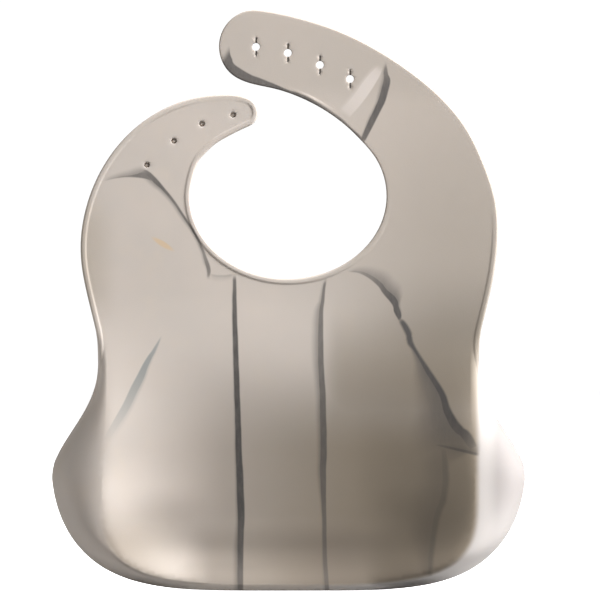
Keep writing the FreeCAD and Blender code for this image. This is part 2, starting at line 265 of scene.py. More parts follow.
def wall_bulge(u):
    """Share of the pocket's depth that its front wall reaches at u, from -1 to 1 across."""
    return (1 - np.minimum(1.0, np.abs(u)) ** WALL_POWER) ** (1 / WALL_POWER)


def rim_line():
    """The pocket's front rim from its +X corner to its middle."""
    corner = flare_half(RIM_CORNER_Z)
    u = np.sin(np.radians(np.linspace(90, 0, 200)))
    depth = SIDE_DEPTH + (POCKET_DEPTH - SIDE_DEPTH) * wall_bulge(u)
    return np.stack([corner * u, -depth, RIM_CORNER_Z - RIM_DIP * (1 - u * u)], axis=1)


# ---------------------------------------------------------------- middle surface
def roll_line(crest, flare, count=32):
    """Quarter-oval wall from the crest out to the widest line."""
    turn = np.radians(np.linspace(0, 90, count))[:, None]
    line = crest + (flare - crest) * np.sin(turn)
    line[:, 1] = crest[1] + (flare[1] - crest[1]) * (1 - np.cos(turn[:, 0]))
    return line


def wall_line(flare, rim, count=70):
    """Front wall from the widest line forward and up to the rim."""
    turn = np.radians(np.linspace(90, 0, count))
    q = np.sin(turn) ** (2 / WALL_POWER)
    out = np.maximum(0, np.cos(turn)) ** (2 / WALL_POWER)
    line = rim + (flare - rim) * q[:, None]
    across = (abs(rim[0]) / flare_half(RIM_CORNER_Z)) * (1 - q) + (abs(flare[0]) / FLARE_HALF) * q
    top = wall_bulge(abs(rim[0]) / flare_half(RIM_CORNER_Z))
    bulge = top + (wall_bulge(across) - top) * q
    line[:, 1] = -SIDE_DEPTH - (POCKET_DEPTH - SIDE_DEPTH) * bulge * out
    return line


def bead_stops(radius):
    """Distances from the free edge, inwards, that shape a rolled edge, with its half-thickness at each."""
    turns = np.radians([90, 65, 43, 22, 0])
    ease = 0.12 * (radius - WEB)
    step = [(3.35, WEB), (2.95, WEB + ease), (2.55, radius - ease), (2.1, radius)]
    return step + [(radius * (1 - math.cos(a)), radius * math.sin(a)) for a in turns]


def stations():
    """Goes once round the bib's free edge and gives, at each station, the line of the middle surface from
    the inner field to the free edge, the distance along it of the widest line, and the edge's radius."""
    edge = sheet_edge()
    ahead = np.roll(edge, -1, axis=0) - np.roll(edge, 1, axis=0)
    ahead[0], ahead[-1] = edge[1] - edge[0], edge[-1] - edge[-2]
    ahead /= np.linalg.norm(ahead, axis=1)[:, None]
    found = []
    for (x, z), (tx, tz) in zip(edge, ahead):
        crest = np.array([x + tz * STRIP, 0.0, z - tx * STRIP])
        line = roll_line(crest, np.array([x, -swell(z), z]))
        plain = max(smooth((z - 46) / 8), smooth((-x - 5) / 20) * smooth((z + 40) / 40))
        found.append((line, lengths(line)[-1], BEAD + (WEB - BEAD) * float(plain)))
    fine = np.linspace(0, 2, 1200)
    widest = np.array([crest_and_flare(s)[1] for s in fine])
    travelled = lengths(widest)
    corner = (FLARE_TOP_Z - RIM_CORNER_Z) / (FLARE_TOP_Z - FLARE_Z)
    corner_at = np.interp(corner, fine, travelled)
    rim = rim_line()
    rim_length = lengths(rim)[-1]
    half = []
    count = int(travelled[-1] / 2.0)
    for at in np.linspace(0, travelled[-1], count + 1)[1:]:
        crest, flare = crest_and_flare(float(np.interp(at, travelled, fine)))
        line = roll_line(crest, flare)
        roll_end = lengths(line)[-1]
        radius = BEAD + (RIM - BEAD) * float(smooth((at - corner_at - 4) / 20))
        if at > corner_at:
            share = (at - corner_at) / (travelled[-1] - corner_at)
            top = at_lengths(rim, [share * rim_length])[0]
            line = np.concatenate([line, wall_line(flare, top)[1:]])
        half.append((line, roll_end, radius))
    mirror = np.array([-1, 1, 1])
    mirrored = [(line * mirror, roll_end, radius) for line, roll_end, radius in reversed(half[:-1])]
    return found + half + mirrored


def ring_stops(total, roll_end, radius):
    """Where the rings sit along a station's line, with the half-thickness at each."""
    roll_stop = min(roll_end, total - STRIP)
    roll_stop = roll_stop if roll_stop > 0.6 else 0.0
    front_stop = total - STRIP
    front_stop = front_stop if front_stop - roll_stop > 0.6 else roll_stop
    roll = np.linspace(0, roll_stop, ROLL_RINGS + 1)
    front = np.linspace(roll_stop, front_stop, FRONT_RINGS + 1)[1:]
    bead = bead_stops(radius)
    stops = np.concatenate([roll, front, [total - d for d, _ in bead]])
    return stops, [WEB] * (len(roll) + len(front)) + [h for _, h in bead]


class Skin:
    """The middle surface: points, half-thickness and faces, with whether each face lies in the pocket."""

    def __init__(self):
        self.points = []
        self.half = []
        self.faces = []
        self.in_pocket = []

    def point(self, place, half):
        self.points.append(tuple(place))
        self.half.append(half)
        return len(self.points) - 1

    def face(self, corners, in_pocket):
        kept = [c for i, c in enumerate(corners) if c != corners[i - 1]]
        if len(set(kept)) >= 3:
            self.faces.append(kept)
            self.in_pocket.append(in_pocket)


def lay_rings(skin):
    """Adds the band of rings along the free edge; returns the innermost ring's point numbers."""
    rows = []
    lower = []
    for line, roll_end, radius in stations():
        total = lengths(line)[-1]
        stops, halves = ring_stops(total, roll_end, radius)
        places = at_lengths(line, stops)
        row = []
        for k, (stop, place, half) in enumerate(zip(stops, places, halves)):
            same = k > 0 and abs(stop - stops[k - 1]) < 1e-6
            row.append(row[-1] if same else skin.point(place, half))
        rows.append(row)
        lower.append(total > STRIP + 1.5 or places[-1][2] < FLARE_TOP_Z)
    seam = ROLL_RINGS // 2
    for i, row in enumerate(rows):
        j = (i + 1) % len(rows)
        both_lower = lower[i] and lower[j]
        for k in range(len(row) - 1):
            skin.face([row[k], row[k + 1], rows[j][k + 1], rows[j][k]], both_lower and k >= seam)
    return [row[0] for row in rows]


def inside(points, polygon):
    """Which points lie inside a closed polygon."""
    result = np.zeros(len(points), bool)
    x, z = points[:, 0], points[:, 1]
    for (x0, z0), (x1, z1) in zip(polygon, np.roll(polygon, -1, axis=0)):
        if z0 == z1:
            continue
        crosses = (z0 > z) != (z1 > z)
        result ^= crosses & (x < x0 + (z - z0) * (x1 - x0) / (z1 - z0))
    return result


def clear_of(points, others, distance):
    """Keeps the points that are further than distance from every one of the others."""
    keep = np.ones(len(points), bool)
    for other in others:
        keep &= np.sum((points - other) ** 2, axis=1) > distance ** 2
    return points[keep]


def ring_points(centre, radius, count=36):
    """Points round a circle."""
    turns = np.radians(np.arange(count) * 360 / count)
    return [(centre[0] + radius * math.cos(a), centre[1] + radius * math.sin(a)) for a in turns]


class Field:
    """Collects the plane points and lines that the sheet's triangulation has to keep."""

    def __init__(self, skin, border):
        self.skin = skin
        self.numbers = list(border)
        self.plane = [(skin.points[n][0], skin.points[n][2]) for n in border]
        self.lines = [(i, (i + 1) % len(border)) for i in range(len(border))]
        self.border = np.array(self.plane)

    def add(self, x, z, half=WEB):
        self.numbers.append(self.skin.point((x, -float(dish(x, z)), z), half))
        self.plane.append((x, z))
        return len(self.plane) - 1

    def loop(self, points, half):
        found = [self.add(x, z, half) for x, z in points]
        self.lines += [(a, b) for a, b in zip(found, found[1:] + found[:1])]
        return found


def cut_slit(field, centre, ring, up):
    """Adds the parted lips of a slit above (up = 1) or below (up = -1) a hole."""
    quarter = len(ring) // 4
    middle = quarter if up > 0 else 3 * quarter
    trails = [[ring[middle - 1]], [ring[middle]], [ring[(middle + 1) % len(ring)]]]
    field.skin.half[field.numbers[ring[middle]]] = 0.05
    side = -up
    for height in (3.3, 3.9, 4.4, SLIT_REACH):
        lip = SLIT_LIP if height < SLIT_REACH else 0.2
        z = centre[1] + up * height
        trails[0].append(field.add(centre[0] - side * lip, z))
        trails[1].append(field.add(centre[0], z, 0.05))
        trails[2].append(field.add(centre[0] + side * lip, z))
    tip = field.add(centre[0], centre[1] + up * (SLIT_REACH + 0.45))
    for trail in trails:
        trail.append(tip)
        field.lines += list(zip(trail, trail[1:]))


def fill_field(skin, border):
    """Triangulates the sheet inside the innermost ring, with its holes, slits and peg seats."""
    field = Field(skin, border)
    gaps = []
    features = []
    for centre in HOLE_CENTRES:
        rim = field.loop(ring_points(centre, HOLE_RADIUS), 0.58)
        lip = field.loop(ring_points(centre, HOLE_RADIUS + 0.35), WEB)
        for up in (1, -1):
            notch = rim[9 if up > 0 else 27]
            skin.half[field.numbers[notch]] = 0.05
            cut_slit(field, centre, lip, up)
        gaps.append((centre, HOLE_RADIUS))
        features += ring_points(centre, HOLE_RADIUS + 0.35, 12)
        features += [(centre[0], centre[1] + s * h) for s in (-1, 1) for h in (2, 3, 4, 5)]
    for name in PEGS:
        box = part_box(name)
        centre = ((box[0].x + box[1].x) / 2 / MM, (box[0].z + box[1].z) / 2 / MM)
        field.loop(ring_points(centre, DIMPLE_RADIUS), 0.55)
        field.loop(ring_points(centre, DIMPLE_RADIUS + 0.35), WEB)
        gaps.append((centre, DIMPLE_RADIUS))
        features += ring_points(centre, DIMPLE_RADIUS + 0.35, 12)
    low_corner, high_corner = field.border.min(axis=0), field.border.max(axis=0)
    xs = np.arange(low_corner[0], high_corner[0], FIELD_STEP)
    zs = np.arange(low_corner[1], high_corner[1], FIELD_STEP * 0.87)
    grid = np.array([(x + FIELD_STEP / 2 * (j % 2), z) for j, z in enumerate(zs) for x in xs])
    grid = grid[inside(grid, field.border)]
    grid = clear_of(grid, field.border, 1.3)
    grid = clear_of(grid, np.array(features), 1.1)
    for centre, radius in gaps:
        grid = clear_of(grid, [np.array(centre)], radius + 0.6)
    for x, z in grid:
        field.add(float(x), float(z))
    corners = [Vector(p) for p in field.plane]
    plane, _, triangles, sources, _, _ = delaunay_2d_cdt(corners, field.lines, [], 1, 1e-6)
    number = [field.numbers[source[0]] for source in sources]
    for triangle in triangles:
        middle = sum((plane[c] for c in triangle), Vector((0, 0))) / 3
        if any((middle.x - c[0]) ** 2 + (middle.y - c[1]) ** 2 < (r - 0.02) ** 2 for c, r in gaps):
            continue
        a, b, c = (number[k] for k in triangle)
        area = (plane[triangle[1]] - plane[triangle[0]]).cross(plane[triangle[2]] - plane[triangle[0]])
        skin.face([a, c, b] if area > 0 else [a, b, c], False)


# ---------------------------------------------------------------- closed patches
def surface_normals(points, faces):
    """Unit normals at the points, weighted by the area of the faces round them."""
    total = np.zeros_like(points)
    for face in faces:
        for k in range(1, len(face) - 1):
            tri = [face[0], face[k], face[k + 1]]
            total[tri] += np.cross(points[tri[1]] - points[tri[0]], points[tri[2]] - points[tri[0]])
    size = np.linalg.norm(total, axis=1)
    return total / np.maximum(size, 1e-12)[:, None]


def bend_frame(name):
    """A joint's place on the sheet and the direction across its bending line, towards the moving part."""
    joint = joints[name]
    place = np.array(joint["pos_m"]) / MM
    return place, np.cross([0, 1, 0], joint["axis"])


def beyond(place, name):
    """How far a place lies beyond a joint's bending line."""
    middle, across = bend_frame(name)
    return float(np.dot(np.array(place) - middle, across))


CHEST_SEAM_Z = -49.5
PEG_TIP_Z = 52.0                                # height at x = 0 of a sloping line between the two straps
# Each patch: the joint it bends at, how far the bend reaches before and after the joint's line, and the CAD
# nodes it replaces.
PATCHES = {
    "apron_skin": ("apron_fold", 12, 12, ["chest_panel", "back_panel"]),
    "pocket_skin": (None, 0, 0, ["pocket_cheek_left", "pocket_cheek_right", "pocket_floor", "pocket_front",
                                 "pocket_front_rim", "side_rim_left", "side_rim_right"]),
    "peg_strap_skin": ("peg_strap_wrap", 13, 20, ["peg_strap_root"]),
    "peg_strap_tip_skin": ("peg_strap_curl", 4, 4, ["peg_strap_tip"]),
    "hole_strap_skin": ("hole_strap_wrap", 13, 20, ["hole_strap_root"]),
    "hole_strap_tip_skin": ("hole_strap_curl", 10, 9, ["hole_strap_tip"]),
}


def patch_of(middle, in_pocket):
    """The patch that a face belongs to. Seams lie where the skin doesn't bend."""
    if in_pocket:
        return "pocket_skin"
    if middle[2] < CHEST_SEAM_Z:
        return "apron_skin"
    if middle[0] > 0 and middle[2] < PEG_TIP_Z + 0.2 * middle[0]:
        tip = beyond(middle, "peg_strap_curl") > -12 and beyond(middle, "peg_strap_wrap") > 30
        return "peg_strap_tip_skin" if tip else "peg_strap_skin"
    tip = beyond(middle, "hole_strap_curl") > -18 and beyond(middle, "hole_strap_wrap") > 24
    return "hole_strap_tip_skin" if tip else "hole_strap_skin"


def closed_mesh(name, faces, places, directions, shared, material):
    """A closed piece from some of the middle surface's faces: back face, front face and the walls between
    them. places holds the back points, then the front points; shared tells which points have no thickness,
    as at the free edge, and so belong to both faces."""
    count = len(shared)
    flip = {n: (n if shared[n] else n + count) for face in faces for n in face}
    solid = [list(face) for face in faces] + [[flip[n] for n in reversed(face)] for face in faces]
    smooth_faces = len(solid)
    edges = {(a, b) for face in faces for a, b in zip(face, face[1:] + face[:1])}
    for a, b in sorted(edges):
        if (b, a) in edges:
            continue
        wall = [b, a, flip[a], flip[b]]
        wall = [n for i, n in enumerate(wall) if n != wall[i - 1]]
        if len(wall) >= 3:
            solid.append(wall)
    used = sorted({n for face in solid for n in face})
    number = {n: i for i, n in enumerate(used)}
    mesh = bpy.data.meshes.new(name)
    mesh.from_pydata((places[used] * MM).tolist(), [], [[number[n] for n in face] for face in solid])
    rest = mesh.attributes.new("rest_place", "FLOAT_VECTOR", "POINT")
    rest.data.foreach_set("vector", places[used].astype(np.float32).ravel())
    mesh.materials.append(material)
    mesh.shade_smooth()
    normals = []
    for face, polygon in zip(solid, mesh.polygons):
        flat = polygon.normal
        normals += [directions[n] if polygon.index < smooth_faces else flat for n in face]
    mesh.normals_split_custom_set(normals)
    piece = bpy.data.objects.new(name, mesh)
    bpy.context.scene.collection.objects.link(piece)
    return piece


def build_skin(material):
    """Builds every patch of the skin."""
    skin = Skin()
    fill_field(skin, lay_rings(skin))
    points = np.array(skin.points)
    half = np.array(skin.half)[:, None]
    out = surface_normals(points, skin.faces)
    places = np.concatenate([points + out * half, points - out * half])
    shared = half[:, 0] < 1e-6
    turned = [[n if shared[n] else n + len(points) for n in reversed(face)] for face in skin.faces]
    directions = surface_normals(places, skin.faces + turned)
    groups = {name: [] for name in PATCHES}
    for face, in_pocket in zip(skin.faces, skin.in_pocket):
        groups[patch_of(points[face].mean(axis=0), in_pocket)].append(face)
    for name, (joint, before, after, nodes) in PATCHES.items():
        piece = closed_mesh(name, groups[name], places, directions, shared, material)
        if joint:
            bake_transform(piece)
        else:
            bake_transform(piece)
        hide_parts(*nodes)


# ---------------------------------------------------------------- pegs
def peg_profile(back, radius, crown):
    """Outline of a peg from the bottom of its hollow back to the middle of its head, as (radius, y).
    radius is the head's, and crown is the y of its far face."""
    cup = DIMPLE_RADIUS - 0.04
    neck = crown + 2.4
    line = [(0.0, back - 0.55), (0.4, back - 0.62), (0.75, back - 0.85), (0.95, back - 1.2)]
    line.append((1.05, back - 1.4))
    line += [(1.25, back - 1.45), (cup, back - 1.2), (cup, back - 0.35), (cup + 0.25, back - 0.3)]
    line += [(cup + 0.4, back - 0.6), (1.85, -0.4), (2.6, -0.78), (2.1, -1.0), (1.85, -1.4), (1.8, -2.0)]
    line += [(1.8, neck + 0.35), (2.0, neck + 0.1)]
    line += [(radius - 0.45, neck), (radius - 0.12, neck - 0.15), (radius, neck - 0.5)]
    for a in np.radians([12, 26, 40, 54, 68, 80]):
        line.append((radius * math.cos(a) ** 0.8, neck - 0.5 - (neck - 0.5 - crown) * math.sin(a)))
    line.append((0.0, crown))
    return line


def build_peg(name, body, material, segments=48):
    """One button peg as a turned, closed shape."""
    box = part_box(name)
    x, z = (box[0].x + box[1].x) / 2 / MM, (box[0].z + box[1].z) / 2 / MM
    radius = (box[1].x - box[0].x) / 2 / MM
    profile = peg_profile(WEB, radius, box[0].y / MM)
    points = [(x, profile[0][1], z)]
    for r, y in profile[1:-1]:
        for i in range(segments):
            turn = 2 * math.pi * i / segments
            points.append((x + r * math.cos(turn), y, z + r * math.sin(turn)))
    points.append((x, profile[-1][1], z))
    rings = len(profile) - 2
    faces = []
    for i in range(segments):
        j = (i + 1) % segments
        faces.append([0, 1 + j, 1 + i])
        for k in range(rings - 1):
            a, b = 1 + k * segments, 1 + (k + 1) * segments
            faces.append([a + i, a + j, b + j, b + i])
        last = 1 + (rings - 1) * segments
        faces.append([last + i, last + j, len(points) - 1])
    mesh = bpy.data.meshes.new(name + "_button")
    mesh.from_pydata([(a * MM, b * MM, c * MM) for a, b, c in points], [], faces)
    rest = mesh.attributes.new("rest_place", "FLOAT_VECTOR", "POINT")
    rest.data.foreach_set("vector", np.array(points, np.float32).ravel())
    mesh.materials.append(material)
    mesh.shade_smooth()
    peg = bpy.data.objects.new(name + "_button", mesh)
    bpy.context.scene.collection.objects.link(peg)
    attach(peg, body)
    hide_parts(name)


# ---------------------------------------------------------------- material
class Graph:
    """Short forms for building a material's nodes."""

    def __init__(self, name):
        self.material = bpy.data.materials.new(name)
        self.material.use_nodes = True
        self.tree = self.material.node_tree
        self.shader = self.tree.nodes["Principled BSDF"]

    def feed(self, socket, value):
        if isinstance(value, bpy.types.NodeSocket):
            self.tree.links.new(value, socket)
        else:
            socket.default_value = value

    def node(self, kind, inputs=None, **settings):
        made = self.tree.nodes.new(kind)
        for key, value in settings.items():
            setattr(made, key, value)
        for key, value in (inputs or {}).items():
            self.feed(made.inputs[key], value)
        return made

    def calc(self, operation, a, b=0.0, c=0.0, clamp=False):
        made = self.node("ShaderNodeMath", {0: a, 1: b, 2: c}, operation=operation, use_clamp=clamp)
        return made.outputs[0]

    def ease(self, value, low, high, start=0.0, end=1.0):
        inputs = {"Value": value, "From Min": low, "From Max": high, "To Min": start, "To Max": end}
        made = self.node("ShaderNodeMapRange", inputs, interpolation_type="SMOOTHSTEP")
        return made.outputs["Result"]

    def noise(self, place, scale, detail=3.0, rough=0.5, stretch=None):
        if stretch:
            scaled = self.node("ShaderNodeVectorMath", {0: place, 1: stretch}, operation="MULTIPLY")
            place = scaled.outputs[0]
        inputs = {"Vector": place, "Scale": scale, "Detail": detail, "Roughness": rough}
        return self.node("ShaderNodeTexNoise", inputs).outputs["Fac"]

    def mix(self, share, a, b, blend="MIX"):
        made = self.node("ShaderNodeMix", data_type="RGBA", blend_type=blend)
        self.feed(made.inputs["Factor"], share)
        self.feed(made.inputs["A"], a)
        self.feed(made.inputs["B"], b)
        return made.outputs["Result"]

    def follow(self, value, pairs):
        """A smooth function through (position, value) pairs."""
        first, last = pairs[0][0], pairs[-1][0]
        values = [v for _, v in pairs]
        floor, span = min(values), max(max(values) - min(values), 1e-3)
        made = self.node("ShaderNodeFloatCurve")
        curve = made.mapping.curves[0]
        while len(curve.points) < len(pairs):
            curve.points.new(0.5, 0.5)
        for point, (position, v) in zip(curve.points, pairs):
            point.location = ((position - first) / (last - first), (v - floor) / span)
            point.handle_type = "AUTO_CLAMPED"
        made.mapping.update()
        share = self.calc("DIVIDE", self.calc("SUBTRACT", value, first), last - first, clamp=True)
        self.feed(made.inputs["Value"], share)
        return self.calc("MULTIPLY_ADD", made.outputs["Value"], span, floor)


def streak(g, x, z, wobble, side, knots, soft=0.45):
    """Strength of one streak, as drawn for the flow lines and for one band of painted shade. Each knot is
    (x, z, core width, haze width, tone); the line is crisp on one side and fades on the other, which is side
    times its left when going along it."""
    start, end = np.array(knots[0][:2]), np.array(knots[-1][:2])
    run = end - start
    size = float(np.linalg.norm(run))
    ux, uz = (run / size).tolist()
    along = [(k[0] - start[0]) * ux + (k[1] - start[1]) * uz for k in knots]
    aside = [(k[1] - start[1]) * ux - (k[0] - start[0]) * uz for k in knots]
    slant = np.sqrt(1 + np.gradient(aside, along) ** 2)
    dx, dz = g.calc("SUBTRACT", x, float(start[0])), g.calc("SUBTRACT", z, float(start[1]))
    a = g.calc("MULTIPLY_ADD", dx, ux, g.calc("MULTIPLY", dz, uz))
    b = g.calc("MULTIPLY_ADD", dz, ux, g.calc("MULTIPLY", dx, -uz))
    middle = g.follow(a, list(zip(along, aside)))
    off = g.calc("MULTIPLY", g.calc("SUBTRACT", b, middle), float(side))
    off = g.calc("ADD", off, wobble)
    core = g.follow(a, [(p, k[2] * s) for p, k, s in zip(along, knots, slant)])
    haze = g.follow(a, [(p, k[3] * s) for p, k, s in zip(along, knots, slant)])
    tone = g.follow(a, [(p, k[4]) for p, k in zip(along, knots)])
    crisp = g.ease(off, -soft, soft)
    core_ends = g.ease(off, g.calc("SUBTRACT", core, soft), g.calc("ADD", core, soft * 1.3))
    dark = g.calc("SUBTRACT", 1.0, core_ends)
    fade = g.calc("SUBTRACT", 1.0, g.ease(off, g.calc("SUBTRACT", core, 0.8), g.calc("ADD", core, haze)))
    fade = g.calc("MULTIPLY", fade, 0.7)
    body = g.calc("MULTIPLY", g.calc("MAXIMUM", dark, fade), crisp)
    ends = g.calc("MULTIPLY", g.ease(a, -1.0, 3.0), g.ease(a, size + 1.5, size - 1.5))
    return g.calc("MULTIPLY", g.calc("MULTIPLY", body, tone), ends)


# Flow lines of dark, blue-grey and pale silicone: side, knots as streak() takes them, and edge softness. Two
# dark lines are not flow lines: the band along the hole strap's rolled inner edge is painted shade, and the
# last is a soft dark band down the -X side of the dish.
DARK_LINES = [
    (1, [(27.2, -41, 1.5, 1, 0.8), (26.3, -69, 2.6, 0.8, 0.92), (25, -106, 3, 1, 0.92),
         (24.3, -132, 3.3, 1.2, 0.95),
         (23, -158, 3.7, 1.5, 0.95), (23.2, -173, 3.4, 2, 0.9), (23.6, -189, 3.2, 3, 0.85),
         (23.6, -206, 3, 3, 0.7)]),
    (1, [(-19.9, -43, 1.2, 1, 0.65), (-18.6, -54, 1.8, 2, 0.75), (-18, -69, 2.7, 4.5, 0.75),
         (-19.3, -105, 3.2, 3, 0.78),
         (-19.9, -132, 3.4, 2.6, 0.78), (-19.5, -145, 3.2, 2.4, 0.75), (-19.8, -176, 2.2, 1, 0.65),
         (-21.3, -206, 2.2, 2, 0.55)]),
    (-1, [(95.8, 7.5, 0.3, 1.5, 0.35), (87.9, 9.3, 0.6, 3, 0.6), (82.6, 9.7, 1, 4, 0.7),
         (78.5, 9.4, 2, 5, 0.75),
          (74.2, 8.8, 3.2, 3, 0.75), (70, 7, 1.5, 1, 0.6)]),
    (1, [(76.9, 14.2, 0.3, 0.5, 0.4), (72.8, 13, 2.2, 2, 0.7), (69.2, 9.8, 2.6, 3, 0.82),
         (64, 3.9, 1.7, 2.5, 0.85),
         (58.8, -2.6, 1.4, 2, 0.8), (53.6, -10.4, 1.3, 2, 0.8), (48.4, -18.4, 1.2, 1.5, 0.75),
         (44.3, -26.4, 1.4, 1.5, 0.65),
         (42.2, -32.1, 1.8, 1.5, 0.65), (40.6, -36.3, 2, 1, 0.7), (40.6, -42, 1.2, 1, 0.4)]),
    (1, [(41, -40, 1, 3, 0.3), (36, -41, 1.2, 3, 0.25), (29, -40.5, 1.2, 2, 0.3)]),
    (1, [(-50.8, 69, 0.5, 1, 0.5), (-51.7, 63.2, 2.2, 1.5, 0.75), (-52.6, 57.9, 3.6, 2, 0.85),
         (-51.1, 52, 3.8, 2, 0.9),
         (-48.2, 44.8, 3.6, 1.5, 0.9), (-45.2, 38.9, 3.4, 1.5, 0.9), (-42.2, 32.9, 3, 1, 0.85),
         (-39.5, 28, 2.4, 1, 0.8)]),
    # Painted shade: the shaded rolled inner edge of the hole strap.
    (1, [(30.6, 77.5, 5, 0.5, 0.8), (29.2, 71, 5.5, 0.5, 0.85), (26.2, 66.8, 5.5, 0.5, 0.85),
         (21.5, 63.9, 5, 0.5, 0.85),
         (14.3, 60.9, 4, 0.5, 0.85), (7.1, 57.9, 3.5, 1, 0.85), (0, 54.9, 3, 1, 0.8),
         (-6, 53.1, 3, 2, 0.8),
         (-15.4, 48.4, 2, 1, 0.7), (-24.4, 42.5, 1.8, 1, 0.6), (-33.3, 34.7, 1.6, 1, 0.6),
         (-39.3, 29.4, 1.6, 1, 0.6)]),
    (-1, [(-30.5, -39, 0.8, 3, 0.35), (-40.5, -42, 2, 6, 0.6), (-45.4, -45.9, 2.6, 8, 0.75),
         (-48.8, -50.4, 3, 8, 0.85),
          (-53.4, -55.8, 3.6, 5, 0.92), (-54.8, -60.3, 3.4, 1.5, 0.95), (-57.4, -65, 1.4, 0.5, 0.9)]),
    (1, [(-57.6, -63, 0.8, 0.5, 0.9), (-62.3, -67.8, 3, 0.5, 0.95), (-64, -73, 3, 0.5, 0.95),
         (-66.7, -80, 2, 2, 0.95), (-73.5, -90, 3, 9, 0.95), (-80, -100, 3.5, 16, 0.95),
         (-85.4, -113, 4.5, 24, 0.92), (-90.5, -120, 5, 26, 0.85), (-95, -124.5, 5, 26, 0.7),
         (-98, -130, 4, 20, 0.5)], 0.8),
    (-1, [(-74, -129.5, 0.6, 5, 0.2), (-80, -130.5, 1.6, 8, 0.6), (-89, -132.5, 1.8, 9, 0.75),
         (-98, -134.5, 1.6, 7, 0.7)], 0.6),
    # A soft dark band down the -X side of the dish.
    (1, [(-82, -128, 3, 10, 0.3), (-82.8, -141, 3.6, 14, 0.42), (-82.6, -154, 3.6, 16, 0.4),
         (-80, -163, 3.6, 16, 0.4),
         (-77.5, -173, 3.4, 14, 0.42), (-76, -183, 3.2, 10, 0.45), (-74.5, -197, 2.4, 5, 0.4)], 1.2),
]
BLUE_LINES = [
    (-1, [(65.8, -72.5, 0.3, 0.5, 0.5), (70.5, -80, 1.8, 1, 0.75), (75.2, -87.2, 3, 1.5, 0.8),
         (80.5, -97, 4, 2, 0.7),
          (87, -110, 4, 2.5, 0.5), (92, -119, 3.5, 3, 0.3), (96, -127, 3, 3, 0.0)]),
]
PALE_LINES = [
    (1, [(-49, 66, 3, 2, 0.5), (-43, 55, 6, 2, 0.8), (-32, 41, 6, 2, 0.5)]),
]


def strongest(g, x, z, wobble, lines):
    """The strongest of several streaks at a place (flow lines, and among the dark ones a band of painted
    shade).
    """
    found = None
    for line in lines:
        one = streak(g, x, z, wobble, *line)
        found = one if found is None else g.calc("MAXIMUM", found, one)
    return found


def slit_shade(g, x, z):
    """Dark line down the closed slit above and below each hole."""
    found = None
    for centre_x, centre_z in HOLE_CENTRES:
        aside = g.calc("ABSOLUTE", g.calc("SUBTRACT", x, centre_x))
        along = g.calc("ABSOLUTE", g.calc("SUBTRACT", z, centre_z))
        line = g.calc("MULTIPLY", g.ease(aside, 0.5, 0.2), g.ease(along, SLIT_REACH + 0.2, SLIT_REACH - 0.5))
        line = g.calc("MULTIPLY", line, g.ease(along, HOLE_RADIUS - 0.2, HOLE_RADIUS + 0.1))
        found = line if found is None else g.calc("MAXIMUM", found, line)
    return found


def leaf_mark(g, x, z):
    """Rises from 0 at the middle of the leaf-shaped mark on the chest to 1 at its outline."""
    turn = math.radians(31.5)
    across, up = g.calc("SUBTRACT", x, 65.0), g.calc("SUBTRACT", z, -24.9)
    a = g.calc("MULTIPLY_ADD", across, math.cos(turn), g.calc("MULTIPLY", up, math.sin(turn)))
    b = g.calc("MULTIPLY_ADD", up, math.cos(turn), g.calc("MULTIPLY", across, -math.sin(turn)))
    long = g.calc("POWER", g.calc("ABSOLUTE", g.calc("DIVIDE", a, 7.5)), 1.5)
    wide = g.calc("POWER", g.calc("ABSOLUTE", g.calc("DIVIDE", b, 1.7)), 2.0)
    return g.calc("ADD", long, wide)


# Colours that paint light and shade on the back of the bib, with its other tints, in the order they are
# laid.
# Painted highlight: a rosier, less yellow colour for the lit -X flank.
PAINTED_HIGHLIGHT_ROSE = (0.58, 0.545, 0.525)
FLANK_GREY = (0.31, 0.285, 0.276)
# Grey for painted shade on the -X side of the chest, and for a tint over the hole strap.
GREY_SHADE_AND_TINT = (0.39, 0.344, 0.300)
# Painted shade on the -X side of the waist.
WAIST_SHADE_BROWN = (0.22, 0.192, 0.158)
PALE_BAND = (0.72, 0.655, 0.600)
# Painted shade along the +X edge of the chest.
EDGE_SHADE_BROWN = (0.38, 0.322, 0.252)
# Painted shade over the dish.
DISH_SHADE_BROWN = (0.305, 0.256, 0.198)
# Painted shade over the foot of the dish.
FOOT_SHADE_BROWN = (0.25, 0.210, 0.172)


def tint(g, base, colour, *shares):
    """Mixes a colour in by the product of several shares."""
    total = shares[0]
    for share in shares[1:]:
        total = g.calc("MULTIPLY", total, share)
    return g.mix(total, base, (*colour, 1))


